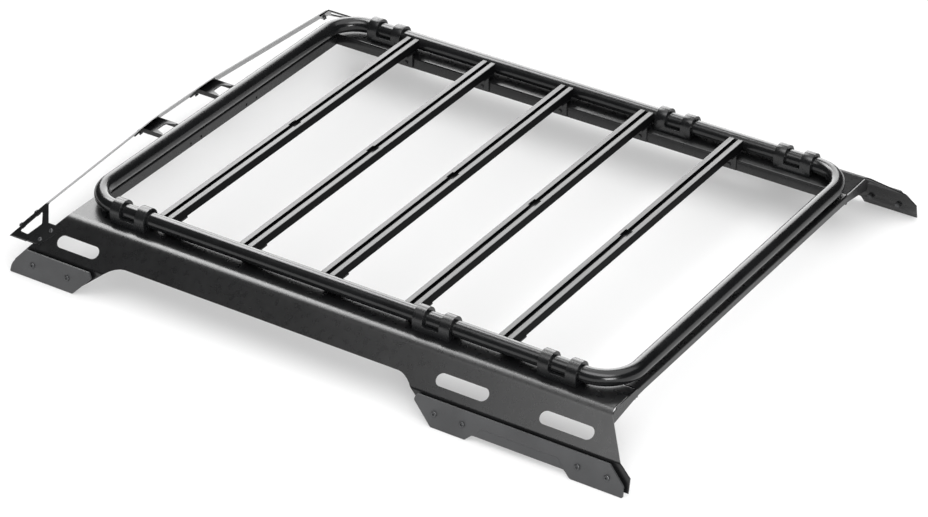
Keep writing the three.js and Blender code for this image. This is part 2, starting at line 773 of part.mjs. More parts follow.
// A fork of folded sheet: a flange on the fairing's back, a short web and two
// upright arms that run back to tabs on the front cross member.
function midBracket() {
  const half = MID_BRACKET_WIDTH / 2;
  const x = [MID_BRACKET_X - half, MID_BRACKET_X + half];
  const top = -38;
  const armTop = [top - 12, top];
  const lip = FRONT_LIP_Y - SHEET - GAP;
  const flange = fairingFlange(x, box(x, FAIRING_Y, [-70, top]));
  const neck = rounded([
    [x[0], -890],
    [x[1], -890],
    [x[1], -800],
    [x[1] - 5, -788, 2],
    [x[1] - 15, -815, 10],
    [x[0] + 15, -815, 10],
    [x[0] + 5, -788, 2],
    [x[0], -800],
  ]);
  const web = leaningPlate(neck, top - BRACKET_SHEET, BRACKET_SHEET);
  const arms = [
    [x[0], x[0] + BRACKET_SHEET],
    [x[1] - BRACKET_SHEET, x[1]],
  ].map((across) => box(across, [-890, lip], armTop));
  const tabs = MID_BRACKET_BOLTS.map((at) =>
    box([at - 9, at + 9], [lip - BRACKET_SHEET, lip], armTop),
  );
  const tails = join([...arms, web]).subtract(inFrontOfBrackets);
  const lipHoles = MID_BRACKET_BOLTS.map((at) =>
    drill(SMALL_BOLT_HOLE, new THREE.Vector3(at, lip, TAB_Z), AXIS_Y),
  );
  return cut(join([flange, tails, ...tabs]), [...MID_BOLTS.map(fairingHole), ...lipHoles]);
}

// A windowed plate that carries on the line of the sloping wall, with a tab
// bolted on the panel and a flange bolted to the back of the fairing's end.
function endBracket() {
  const level = BRACKET_SHEET / Math.cos(SLOPE_ANGLE);
  const wallLean = -Math.tan(SLOPE_ANGLE);
  const seat = slopeZ(0) + GAP / Math.cos(SLOPE_ANGLE);
  const tab = leaningPlate(
    rounded([
      [602, -771],
      [602, -735, 3],
      [612, -735, 3],
      [644, -764, 4],
      [644, -801],
    ]),
    seat,
    level,
    [wallLean, 0],
  );
  const hinge = [604, -769]; // on the line where the plate folds down
  const fold = [0.105, 0.125]; // extra fall for each mm forward of that line
  const plate = leaningPlate(
    rounded([
      [551, -806, 3],
      [640, -866, 4],
      [645, -803],
      [602, -768],
    ]),
    seat - fold[0] * hinge[0] - fold[1] * hinge[1],
    level,
    [wallLean + fold[0], fold[1]],
    [
      rounded([
        [580, -802, 3],
        [629, -836, 5],
        [633, -807, 4],
        [607, -784, 4],
      ]),
    ],
  );
  const flangeOutline = [
    [562, -21],
    [640, -81],
    [606, -81],
    [545, -34],
  ];
  const flange = fairingFlange([545, 660], alongY(flangeOutline, FAIRING_Y));
  const tabHoles = TAB_BOLTS.map((point) => drill(SMALL_BOLT_HOLE, point, slopeOut));
  const body = join([tab, plate.subtract(inFrontOfBrackets), flange]);
  return cut(body, [...END_BOLTS.map(fairingHole), ...tabHoles]);
}

// A button-head bolt through a stack of sheet, with its nut at the back.
function smallBolt(start, direction, stack) {
  const shank = SMALL_BOLT_HOLE - GAP;
  const profile = [
    [0, -stack - GAP - 4],
    [5.2, -stack - GAP - 4],
    [5.2, -stack - GAP],
    [shank, -stack - GAP],
    [shank, GAP],
    [5.4, GAP],
    [4.8, 2.2],
    [2.6, 3.4],
    [0, 3.4],
  ];
  return turned(profile, start, direction);
}

function fairingBolt([x, z]) {
  return smallBolt(fairingPoint(x, z), fairingOut(x), fairingStack);
}

function tabBolt(point) {
  const seat = point.clone().addScaledVector(slopeOut, tabStack);
  return smallBolt(seat, slopeOut, tabStack + SHEET);
}

add("wind_fairing", fairing(), "coat");
SIDES.forEach(({ name, place }) => {
  add(`fairing_${name}_end_bracket`, place(endBracket()), "coat");
  add(`fairing_${name}_middle_bracket`, place(midBracket()), "coat");
  addBolts(`fairing_${name}_middle`, place, MID_BOLTS.map(fairingBolt));
  addBolts(`fairing_${name}_end`, place, END_BOLTS.map(fairingBolt));
  addBolts(`fairing_${name}_tab`, place, TAB_BOLTS.map(tabBolt));
});

rack.position.set(0, FOOTPRINT_SHIFT, RAIL_HEIGHT);
export default rack;
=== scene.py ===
"""Open roof rack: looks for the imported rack, built piece by piece around its frame.

Metres, +Z up. X runs across the vehicle, the fairing is at -Y. Laid out as an
add-on, with one operator for each piece or group of like pieces.
"""

import json
import math

import bmesh
import bpy
from bpy.props import FloatProperty, FloatVectorProperty, PointerProperty
from mathutils import Matrix, Vector

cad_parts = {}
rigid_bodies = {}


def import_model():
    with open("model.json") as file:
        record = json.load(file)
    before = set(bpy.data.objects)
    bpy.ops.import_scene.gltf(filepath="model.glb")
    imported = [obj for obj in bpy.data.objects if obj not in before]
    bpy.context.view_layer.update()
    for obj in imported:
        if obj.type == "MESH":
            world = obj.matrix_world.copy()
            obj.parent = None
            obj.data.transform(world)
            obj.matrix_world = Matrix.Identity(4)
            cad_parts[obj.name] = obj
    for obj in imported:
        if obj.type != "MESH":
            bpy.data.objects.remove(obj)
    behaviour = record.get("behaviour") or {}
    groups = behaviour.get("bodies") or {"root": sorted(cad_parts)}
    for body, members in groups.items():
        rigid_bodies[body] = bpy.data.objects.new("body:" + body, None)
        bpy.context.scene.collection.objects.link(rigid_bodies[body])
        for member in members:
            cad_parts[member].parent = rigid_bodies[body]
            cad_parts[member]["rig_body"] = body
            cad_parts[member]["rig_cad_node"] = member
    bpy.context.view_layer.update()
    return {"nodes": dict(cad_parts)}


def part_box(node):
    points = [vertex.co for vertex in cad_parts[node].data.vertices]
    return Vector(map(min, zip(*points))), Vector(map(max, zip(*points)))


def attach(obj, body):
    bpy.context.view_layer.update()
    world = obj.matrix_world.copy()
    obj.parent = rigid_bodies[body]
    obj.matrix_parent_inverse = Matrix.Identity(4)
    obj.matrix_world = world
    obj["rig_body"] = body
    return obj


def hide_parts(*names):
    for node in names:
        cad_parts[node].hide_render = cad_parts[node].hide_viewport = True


bl_info = {
    "name": "Tube Rail Roof Rack",
    "version": (1, 0, 0),
    "blender": (4, 5, 0),
    "location": "View3D > Sidebar > Roof Rack",
    "description": "Builds a roof rack with a round rail, folded side panels and slotted cross bars",
    "category": "Object",
}

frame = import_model()
RAIL_LOW, RAIL_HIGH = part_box("rail_loop")
MM = 0.001
NEAR = 1e-5  # slack when parts of a mesh are picked by their place
CLEARANCE = 0.35 * MM  # room between pieces that touch
SLOPE = math.radians(40.2)  # fall of the side panels' sloping wall
FLANGE_TILT = math.radians(11)  # lean of the foot flanges
SIDES = (("left", 1), ("right", -1))
ENDS = ("front", "middle", "rear")
SHARP = math.radians(30)  # edges sharper than this are bevelled
SMOOTH = math.radians(32)  # faces that meet at less than this are shaded as one
ARC_STEP = 0.16  # radians of a rounded corner in each of its segments
TUBE_SIDES = 56


# ---- sizes and colours ---------------------------------------------------


def length(name, description, default):
    return FloatProperty(name=name, description=description, default=default, min=0, unit="LENGTH")


def colour(name, description, default):
    return FloatVectorProperty(
        name=name, description=description, default=default, size=3, min=0, max=1, subtype="COLOR"
    )


class RackSizes(bpy.types.PropertyGroup):
    """Sizes that the pieces share."""

    tube: length("Tube", "Outside diameter of the rail", 38.1 * MM)
    corner: length("Corner radius", "Radius of the rail's corners on the tube's axis", 84 * MM)
    sheet: length("Sheet", "Thickness of the side panels", 3 * MM)
    plate: length("Foot plate", "Thickness of the foot plates", 5 * MM)
    saddle: length("Saddle", "Outside radius of the saddles", 27.4 * MM)
    band: length("Saddle band", "Width of each band of a saddle", 27 * MM)
    slot: length("Bar slot", "Width of the slot along the top of the cross bars", 11 * MM)
    edge: length("Edge break", "Width of the small bevel on sheet and plate edges", 0.6 * MM)


class RackColours(bpy.types.PropertyGroup):
    """Colours of the finishes."""

    coat: colour("Panel coat", "Powder coat on the panels and members", (0.003, 0.0031, 0.0034))
    tube: colour("Tube coat", "Powder coat on the rail", (0.003, 0.0032, 0.0035))
    plate: colour("Plate coat", "Textured coat on the foot plates", (0.032, 0.0326, 0.034))
    cast: colour("Casting coat", "Coat on the saddles and brackets", (0.004, 0.0042, 0.0046))
    bar: colour("Bar anodising", "Anodised surface of the cross bars", (0.003, 0.0031, 0.0033))
    steel: colour("Fastener plating", "Plating on the bolts", (0.06, 0.061, 0.063))
    floor: colour("Floor", "The pale floor under the rack", (0.52, 0.52, 0.52))


# ---- modelling helpers ---------------------------------------------------


def only(piece):
    """Selects one piece and makes it active."""
    bpy.ops.object.select_all(action="DESELECT")
    piece.select_set(True)
    bpy.context.view_layer.objects.active = piece


def named(name):
    """The piece that was just added, with its name and its place put in its mesh."""
    piece = bpy.context.object
    piece.name = piece.data.name = name
    settle(piece)
    return piece


def settle(piece):
    """Moves a piece's place, turn and size into its mesh."""
    only(piece)
    bpy.ops.object.transform_apply(location=True, rotation=True, scale=True)


def block(name, low, high):
    """A block between two corners."""
    low, high = Vector(low), Vector(high)
    bpy.ops.object.select_all(action="DESELECT")
    bpy.ops.mesh.primitive_cube_add(size=1, location=(low + high) / 2)
    bpy.context.object.scale = high - low
    return named(name)


def pin(name, radius, start, end, sides=32):
    """A round bar from one point to another."""
    start, end = Vector(start), Vector(end)
    along = end - start
    bpy.ops.object.select_all(action="DESELECT")
    bpy.ops.mesh.primitive_cylinder_add(
        vertices=sides,
        radius=radius,
        depth=along.length,
        location=(start + end) / 2,
        rotation=along.to_track_quat("Z", "Y").to_euler(),
    )
    return named(name)


def edit(piece):
    """Opens one piece in edit mode."""
    only(piece)
    bpy.ops.object.mode_set(mode="EDIT")


def done():
    """Closes edit mode."""
    bpy.ops.object.mode_set(mode="OBJECT")


def pick(piece, parts, test):
    """In edit mode, selects only the verts, edges or faces that pass a test."""
    bpy.ops.mesh.select_mode(type={"verts": "VERT", "edges": "EDGE", "faces": "FACE"}[parts])
    bpy.ops.mesh.select_all(action="DESELECT")
    shape = bmesh.from_edit_mesh(piece.data)
    for part in getattr(shape, parts):
        if test(part):
            part.select = True
    shape.select_flush_mode()
    bmesh.update_edit_mesh(piece.data)


def pull(step):
    """Extrudes what is selected by a step."""
    bpy.ops.mesh.extrude_region_move(TRANSFORM_OT_translate={"value": tuple(step)})


def turn(centre, axis, angle, steps):
    """Spins what is selected about an axis, right-handed. The tool counts the other way."""
    bpy.ops.mesh.spin(steps=steps, angle=-angle, center=tuple(centre), axis=tuple(axis))


def outward():
    """In edit mode, merges doubles and turns every face outwards."""
    bpy.ops.mesh.select_mode(type="VERT")
    bpy.ops.mesh.select_all(action="SELECT")
    bpy.ops.mesh.remove_doubles(threshold=2e-6)
    bpy.ops.mesh.normals_make_consistent(inside=False)


def apply(piece, kind, **settings):
    """Adds a modifier with these settings and applies it."""
    only(piece)
    modifier = piece.modifiers.new(kind.title(), kind)
    for key, value in settings.items():
        setattr(modifier, key, value)
    bpy.ops.object.modifier_apply(modifier=modifier.name)


def carve(piece, *tools, how="DIFFERENCE"):
    """Cuts each tool out of a piece, or joins it on, and removes the tool."""
    for tool in tools:
        apply(piece, "BOOLEAN", object=tool, operation=how, solver="EXACT")
        bpy.data.objects.remove(tool)
    return piece


def soften(piece, width, segments=2):
    """Bevels the sharp edges a little and smooths the shading between them."""
    apply(
        piece,
        "BEVEL",
        width=width,
        segments=segments,
        limit_method="ANGLE",
        angle_limit=SHARP,
        use_clamp_overlap=True,
        harden_normals=False,
    )
    only(piece)
    bpy.ops.object.shade_smooth_by_angle(angle=SMOOTH)
    apply(piece, "WEIGHTED_NORMAL", keep_sharp=True, weight=80)
    return piece


def outline(name, corners, thickness, place):
    """A flat plate: its outline is drawn corner by corner, its corners are
    rounded, and it is pulled to its thickness. A corner is (u, v) or
    (u, v, radius), and place(u, v, w) is its point in space, w away from the
    plate's first face. The thickness is in the units of w."""
    first = place(corners[0][0], corners[0][1], 0)
    bpy.ops.object.select_all(action="DESELECT")
    bpy.ops.mesh.primitive_plane_add(size=MM, location=first)
    piece = named(name)
    edit(piece)
    bpy.ops.mesh.select_mode(type="VERT")
    bpy.ops.mesh.select_all(action="SELECT")
    bpy.ops.mesh.merge(type="CENTER")
    here = first
    for u, v, *_ in corners[1:]:
        there = place(u, v, 0)
        pull(there - here)
        here = there
    bpy.ops.mesh.select_all(action="SELECT")
    bpy.ops.mesh.edge_face_add()
    for i, (u, v, *radius) in enumerate(corners):
        if not radius or not radius[0]:
            continue
        corner = place(u, v, 0)
        back = (place(*corners[i - 1][:2], 0) - corner).normalized()
        ahead = (place(*corners[(i + 1) % len(corners)][:2], 0) - corner).normalized()
        inside = back.angle(ahead)
        pick(piece, "verts", lambda vert: (vert.co - corner).length < 2 * NEAR)
        bpy.ops.mesh.bevel(
            offset=radius[0] / math.tan(inside / 2),
            offset_type="OFFSET",
            segments=max(3, round((math.pi - inside) / ARC_STEP)),
            affect="VERTICES",
        )
    bpy.ops.mesh.select_mode(type="FACE")
    bpy.ops.mesh.select_all(action="SELECT")
    pull(place(0, 0, thickness) - place(0, 0, 0))
    outward()
    done()
    return piece


def copied(piece, name, matrix):
    """A copy with its own mesh, moved by a matrix, its faces outwards."""
    only(piece)
    bpy.ops.object.duplicate(linked=False)
    copy = bpy.context.object
    copy.matrix_world = matrix @ copy.matrix_world
    copy = named(name)
    if matrix.determinant() < 0:
        edit(copy)
        bpy.ops.mesh.select_all(action="SELECT")
        bpy.ops.mesh.normals_make_consistent(inside=False)
        done()
    return copy


def mirrored(piece, name):
    """The copy on the other side of the rack."""
    return copied(piece, name, Matrix.Diagonal((-1, 1, 1, 1)))


def fit(piece, material, slot, *nodes):
    """Gives a piece its finish and puts it on the rack in place of its CAD nodes."""
    piece.data.materials.clear()
    piece.data.materials.append(material)
    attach(piece, "root")
    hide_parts(*nodes)
    return piece


def refined(node, width, name):
    """A copy of a CAD node with its flat faces made whole and its edges broken."""
    source = frame["nodes"][node]
    only(source)
    bpy.ops.object.duplicate(linked=False)
    piece = bpy.context.object
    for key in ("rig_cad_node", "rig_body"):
        if key in piece:
            del piece[key]
    piece.parent = None
    piece.data.materials.clear()
    piece = named(name)
    edit(piece)
    bpy.ops.mesh.select_all(action="SELECT")
    bpy.ops.mesh.remove_doubles(threshold=NEAR)
    bpy.ops.mesh.dissolve_limited(angle_limit=math.radians(1))
    bpy.ops.mesh.normals_make_consistent(inside=False)
    done()
    return soften(piece, width)


# ---- finishes ------------------------------------------------------------


class Finish:
    """A material whose nodes read the piece's own coordinates."""

    def __init__(self, name, colour, roughness, metallic=0.0):
        self.material = bpy.data.materials.new(name)
        self.material.use_nodes = True
        self.tree = self.material.node_tree
        self.shader = self.tree.nodes["Principled BSDF"]
        self.shader.inputs["Base Color"].default_value = (*colour, 1)
        self.shader.inputs["Roughness"].default_value = roughness
        self.shader.inputs["Metallic"].default_value = metallic
        self.place = self.node("ShaderNodeTexCoord").outputs["Object"]

    def node(self, kind, **inputs):
        made = self.tree.nodes.new(kind)
        for key, value in inputs.items():
            made.inputs[key.replace("_", " ")].default_value = value
        return made

    def link(self, output, target):
        self.tree.links.new(output, target)

    def noise(self, scale, detail, stretch=(1, 1, 1)):
        """Noise at a scale per metre; a stretch under 1 draws it out along that axis."""
        mapping = self.node("ShaderNodeMapping", Scale=stretch)
        noise = self.node("ShaderNodeTexNoise", Scale=scale, Detail=detail)
        self.link(self.place, mapping.inputs["Vector"])
        self.link(mapping.outputs["Vector"], noise.inputs["Vector"])
        return noise.outputs["Fac"]

    def remap(self, value, low, high, start=0.3, stop=0.7):
        """Turns start to stop into low to high; noise lies mostly from 0.3 to 0.7."""
        ramp = self.node("ShaderNodeMapRange")
        for key, number in (("From Min", start), ("From Max", stop), ("To Min", low), ("To Max", high)):
            ramp.inputs[key].default_value = number
        self.link(value, ramp.inputs["Value"])
        return ramp.outputs["Result"]

    def blend(self, share, first, second):
        """Mixes two colours by a share. The node's colour sockets go by number,
        because its number and vector sockets have the same names."""
        factor, colour_a, colour_b, colour_out = 0, 6, 7, 2
        mix = self.tree.nodes.new("ShaderNodeMix")
        mix.data_type = "RGBA"
        mix.inputs[colour_a].default_value = (*first, 1)
        mix.inputs[colour_b].default_value = (*second, 1)
        self.link(share, mix.inputs[factor])
        self.link(mix.outputs[colour_out], self.shader.inputs["Base Color"])

    def paint_sheen_on_level_faces(self, shine):
        """Painted sheen and shade: raises the specular level on the level faces and lowers it on the
        upright ones, by their normals, so the tops look lit and the sides look shaded.
        """
        dull = 0.02
        parts = self.node("ShaderNodeSeparateXYZ")
        self.link(self.tree.nodes["Texture Coordinate"].outputs["Normal"], parts.inputs["Vector"])
        level = self.remap(parts.outputs["Z"], dull, shine, start=0.4, stop=0.9)
        self.link(level, self.shader.inputs["Specular IOR Level"])

    def rough(self, value):
        self.link(value, self.shader.inputs["Roughness"])

    def bump(self, height, distance, before=None):
        """A bump of a height in metres, on top of the one made before it."""
        bump = self.node("ShaderNodeBump", Strength=1.0, Distance=distance)
        self.link(height, bump.inputs["Height"])
        if before:
            self.link(before, bump.inputs["Normal"])
        self.link(bump.outputs["Normal"], self.shader.inputs["Normal"])
        return bump.outputs["Normal"]


def lighter(colour, factor, lift=0.0):
    """A colour times a factor, plus a lift."""
    return tuple(min(1.0, part * factor + lift) for part in colour)


def powder_coat(name, colour, roughness, grain, depth):
    """Powder coat: a slight cloudiness, and a peel of this grain per metre and
    depth in metres, with a finer one on it."""
    finish = Finish(name, colour, roughness)
    cloud = finish.noise(9, 4)
    finish.blend(finish.remap(cloud, 0, 1), colour, lighter(colour, 1.5, 0.002))
    finish.rough(finish.remap(finish.noise(60, 5), roughness - 0.02, roughness + 0.03))
    peel = finish.bump(finish.noise(grain, 2), depth)
    finish.bump(finish.noise(grain * 5, 2), depth / 5, before=peel)
    return finish.material


def anodised(name, colour):
    """Anodised extrusion with fine die lines along X, its length."""
    finish = Finish(name, colour, 0.34)
    lines = finish.noise(900, 3, stretch=(0.004, 1, 1))
    finish.blend(finish.remap(lines, 0, 1), lighter(colour, 0.75), lighter(colour, 1.7))
    finish.rough(finish.remap(finish.noise(300, 3, stretch=(0.01, 1, 1)), 0.28, 0.42))
    finish.bump(lines, 0.00002)
    # painted sheen on the bars' level faces and painted shade on their upright sides
    finish.paint_sheen_on_level_faces(0.72)
    return finish.material


def plated(name, colour):
    """Black plating on turned steel, worn a little in spots spread by noise."""
    finish = Finish(name, colour, 0.38, metallic=0.8)
    finish.blend(finish.remap(finish.noise(420, 4), 0, 1), lighter(colour, 0.7), lighter(colour, 2.0))
    finish.rough(finish.remap(finish.noise(700, 3), 0.3, 0.5))
    finish.bump(finish.noise(1400, 2), 0.00002)
    return finish.material


def matt_floor(name, colour):
    """Pale paper without shine, lit a little from within so that its shadows stay soft."""
    finish = Finish(name, colour, 0.85)
    finish.shader.inputs["Specular IOR Level"].default_value = 0
    finish.shader.inputs["Emission Color"].default_value = (1, 1, 1, 1)
    finish.shader.inputs["Emission Strength"].default_value = 0.34
    finish.blend(finish.remap(finish.noise(2, 3), 0, 1), lighter(colour, 0.985), colour)
    finish.bump(finish.noise(120, 3), 0.0002)
    return finish.material


def finishes():
    """Every finish by its slot, made once."""
    colours = bpy.context.scene.rack_colours
    if not bpy.data.materials.get("panel_coat"):
        powder_coat("panel_coat", colours.coat, roughness=0.28, grain=260, depth=0.000015)
        powder_coat("tube_coat", colours.tube, roughness=0.22, grain=240, depth=0.00002)
        powder_coat("plate_coat", colours.plate, roughness=0.46, grain=700, depth=0.00012)
        powder_coat("casting_coat", colours.cast, roughness=0.27, grain=420, depth=0.0001)
        anodised("bar_anodising", colours.bar)
        plated("fastener_plating", colours.steel)
    names = {
        "coat": "panel_coat",
        "tube": "tube_coat",
        "plate": "plate_coat",
        "cast": "casting_coat",
        "bar": "bar_anodising",
        "steel": "fastener_plating",
    }
    return {slot: bpy.data.materials[name] for slot, name in names.items()}


# ---- pieces --------------------------------------------------------------


class RACK_OT_rail(bpy.types.Operator):
    """Build the rail: one tube bent round into a closed loop"""

    bl_idname = "rack.rail"
    bl_label = "Rail"

    def execute(self, context):
        sizes = context.scene.rack_sizes
        radius, corner = sizes.tube / 2, sizes.corner
        middle = (RAIL_LOW + RAIL_HIGH) / 2
        half_width = (RAIL_HIGH.x - RAIL_LOW.x) / 2 - radius
        half_length = (RAIL_HIGH.y - RAIL_LOW.y) / 2 - radius
        start = Vector((0, middle.y - half_length, middle.z))
        bpy.ops.object.select_all(action="DESELECT")
        bpy.ops.mesh.primitive_circle_add(
            vertices=TUBE_SIDES, radius=radius, location=start, rotation=(0, math.pi / 2, 0)
        )
        piece = named("rail_tube")
        edit(piece)
        bpy.ops.mesh.select_all(action="SELECT")
        across, along = half_width - corner, half_length - corner
        up = (0, 0, 1)
        runs = (
            ((across, 0, 0), (across, middle.y - along)),
            ((0, 2 * along, 0), (across, middle.y + along)),
            ((-2 * across, 0, 0), (-across, middle.y + along)),
            ((0, -2 * along, 0), (-across, middle.y - along)),
        )
        for step, centre in runs:
            pull(step)
            turn((*centre, middle.z), up, math.pi / 2, 20)
        pull((across, 0, 0))
        outward()
        done()
        only(piece)
        bpy.ops.object.shade_smooth_by_angle(angle=math.radians(40))
        fit(piece, finishes()["tube"], "tube", "rail_loop")
        return {"FINISHED"}


class PanelSection:
    """The side panels' section: straight walls and the folds between them. The
    folds' radii are those of the outer face."""

    lip_depth = 28.2 * MM
    lip_fold = 5 * MM
    shoulder = 41.6 * MM
    flange_fold = 10 * MM
    slope_x, slope_drop = 585 * MM, 9.2 * MM  # a point on the sloping wall, below the panel's top
    corner_x = 652.5 * MM  # where the sloping wall would meet the flange without a fold

    def __init__(self):
        low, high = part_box("left_side_panel")
        self.low, self.high = low, high
        self.inner, self.top = low.x, high.z
        self.slope_point = Vector((self.slope_x, 0, self.top - self.slope_drop))
        self.flange_corner = Vector((self.corner_x, 0, self.slope_z(self.corner_x)))
        self.slope_out = Vector((math.sin(SLOPE), 0, math.cos(SLOPE)))
        self.flange_out = Vector((math.cos(FLANGE_TILT), 0, math.sin(FLANGE_TILT)))

    def slope_z(self, x):
        """Height of the sloping wall's outer face."""
        return self.slope_point.z - math.tan(SLOPE) * (x - self.slope_point.x)

    def flange_point(self, y, z, out=0.0):
        """A point on a plane parallel to the foot flange and this far outside it."""
        x = self.corner_x + (self.flange_corner.z - z) * math.tan(FLANGE_TILT)
        return Vector((x + out / math.cos(FLANGE_TILT), y, z))


SECTION = PanelSection()
MID_Y = (RAIL_LOW.y + RAIL_HIGH.y) / 2
RAIL_Z = (RAIL_LOW.z + RAIL_HIGH.z) / 2


def at_y(mm):
    """Y of a point given in millimetres from the middle of the rail."""
    return MID_Y + mm * MM


def at_z(mm):
    """Z of a point given in millimetres from the axis of the tube."""
    return RAIL_Z + mm * MM


def middle_y(node):
    """Y of the middle of a CAD node."""
    low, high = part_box(node)
    return (low.y + high.y) / 2


# Millimetres from the middle of the rail along Y, and from the axis of the tube along Z.
FRONT_BOLTS = (-767, -666)
REAR_BOLTS = (344, 416, 707, 780)
FOOT_BOLT_Z = -125.6
HAND_SLOTS = ((-667.5, 119), (385.4, 135), (650, 135))  # middle and length of each
PANEL_FRONT = ((-826, -129), (-733, -27))  # the slanted ends, as two points of each
PANEL_REAR = ((732.4, -25.5), (828.5, -116))

FOOT_HOLE = 4.4 * MM  # radius
STAND_OFF = 6 * MM  # space between the flanges and the foot plates
RELIEF = 1.6 * MM  # depth of the milled relief on the rear foot plates

FACET_X = 0.118  # half width of the fairing's middle facet
FAIRING_SWEEP = 0.072  # how far the side facets' outward normal turns to X, for 1 along -Y
FAIRING_RAKE = 0.94  # how far the facets' outward normal rises, for 1 along -Y


class RACK_OT_panels(bpy.types.Operator):
    """Build the side panels: sheet folded over a soft shoulder down to two feet"""

    bl_idname = "rack.panels"
    bl_label = "Side Panels"

    def execute(self, context):
        sizes = context.scene.rack_sizes
        piece = self.folded_sheet()
        apply(piece, "SOLIDIFY", thickness=sizes.sheet, offset=-1, use_even_offset=True)
        carve(piece, *self.trims(), *self.hand_slots(), *self.bolt_holes())
        soften(piece, sizes.edge)
        coat = finishes()["coat"]
        right = mirrored(piece, "side_panel_right")
        fit(piece, coat, "coat", "left_side_panel")
        fit(right, coat, "coat", "right_side_panel")
        return {"FINISHED"}

    def folded_sheet(self):
        """The outer face of the left panel, as a sheet with no thickness: the lip
        is laid down first, and its top edge is pulled and turned down to the foot."""
        s = SECTION
        y0, y1 = s.low.y, s.high.y
        lip_bottom, lip_top = s.top - s.lip_depth, s.top - s.lip_fold
        bpy.ops.object.select_all(action="DESELECT")
        bpy.ops.mesh.primitive_plane_add(size=1, rotation=(0, math.pi / 2, 0))
        sheet = bpy.context.object
        sheet.location = (s.inner, (y0 + y1) / 2, (lip_bottom + lip_top) / 2)
        sheet.scale = (lip_top - lip_bottom, y1 - y0, 1)
        piece = named("side_panel_left")
        edit(piece)
        pick(piece, "edges", lambda e: all(v.co.z > lip_top - NEAR for v in e.verts))
        across = (0, 1, 0)
        turn((s.inner + s.lip_fold, 0, lip_top), across, math.pi / 2, 6)
        arc_x = s.slope_point.x - (s.top - s.slope_point.z) / math.tan(SLOPE)
        arc_x -= s.shoulder * math.tan(SLOPE / 2)
        pull((arc_x - s.inner - s.lip_fold, 0, 0))
        turn((arc_x, 0, s.top - s.shoulder), across, SLOPE, 14)
        bend = math.pi / 2 - FLANGE_TILT - SLOPE
        tangent = s.flange_fold * math.tan(bend / 2)
        down = Vector((math.cos(SLOPE), 0, -math.sin(SLOPE)))
        wall_start = Vector((arc_x, 0, s.top - s.shoulder)) + s.shoulder * s.slope_out
        wall_end = s.flange_corner - tangent * down
        pull(wall_end - wall_start)
        turn(wall_end - s.flange_fold * s.slope_out, across, bend, 8)
        flange_down = Vector((math.sin(FLANGE_TILT), 0, -math.cos(FLANGE_TILT)))
        reach = (s.flange_corner.z - s.low.z) / math.cos(FLANGE_TILT) - tangent
        pull(flange_down * reach)
        self.slant(*PANEL_REAR)
        self.slant(*PANEL_FRONT)
        self.face_up(piece)
        done()
        return piece

    def slant(self, first, second):
        """Trims the sheet along a line seen from the side, keeping what is below it."""
        (y0, z0), (y1, z1) = ((at_y(y), at_z(z)) for y, z in (first, second))
        bpy.ops.mesh.select_all(action="SELECT")
        bpy.ops.mesh.bisect(
            plane_co=(0, y0, z0), plane_no=(0, z0 - z1, y1 - y0), clear_outer=True, use_fill=False
        )

    def face_up(self, piece):
        """Turns every face the way that the top of the panel faces."""
        bpy.ops.mesh.select_all(action="SELECT")
        bpy.ops.mesh.normals_make_consistent(inside=False)
        shape = bmesh.from_edit_mesh(piece.data)
        shape.normal_update()
        if max(shape.faces, key=lambda f: f.calc_center_median().z).normal.z < 0:
            bpy.ops.mesh.flip_normals()

    def trims(self):
        """The gap between the feet, and the square ends of the inner lip."""
        inner, outer = 0.45, 0.72  # X range of the gap's tools
        top, bottom, past = -73.7, -150, 35  # the gap's tool goes on past the bottom
        shift = past / ((top - bottom) / 94)

        def across(y, z, w):
            return Vector((inner + w, at_y(y), at_z(z)))

        gap = [
            (-645 - shift, bottom - past),
            (-551, top, 74 * MM),
            (251, top, 66 * MM),
            (331 + shift, bottom - past),
        ]
        step = [(426, -152), (436, -137, 6 * MM), (680, -137, 6 * MM), (690, -152)]
        tools = [outline("gap", corners, outer - inner, across) for corners in (gap, step)]
        front, rear = PANEL_FRONT[1][0], PANEL_REAR[0][0]
        for y0, y1 in ((-900, front), (rear, 900)):
            tools.append(block("end", (0.47, at_y(y0), at_z(-60)), (0.563, at_y(y1), at_z(0))))
        return tools

    def hand_slots(self):
        """Tools with round ends, square to the sloping wall."""
        tools = []
        x = 622.5 * MM
        wide, deep = 15.8 * MM, 0.03  # half sizes
        for y, size in HAND_SLOTS:
            half = size * MM / 2
            tool = block("slot", (-wide, -half, -deep), (wide, half, deep))
            edit(tool)
            pick(tool, "edges", lambda e: abs(e.verts[0].co.z - e.verts[1].co.z) > deep)
            bpy.ops.mesh.bevel(offset=wide - NEAR, segments=14, affect="EDGES")
            done()
            tool.rotation_euler = (0, SLOPE, 0)
            tool.location = (x, at_y(y), SECTION.slope_z(x))
            settle(tool)
            tools.append(tool)
        return tools

    def bolt_holes(self):
        out = SECTION.flange_out * 0.02
        places = [SECTION.flange_point(at_y(y), at_z(FOOT_BOLT_Z)) for y in FRONT_BOLTS + REAR_BOLTS]
        return [pin("hole", FOOT_HOLE, place - out, place + out) for place in places]


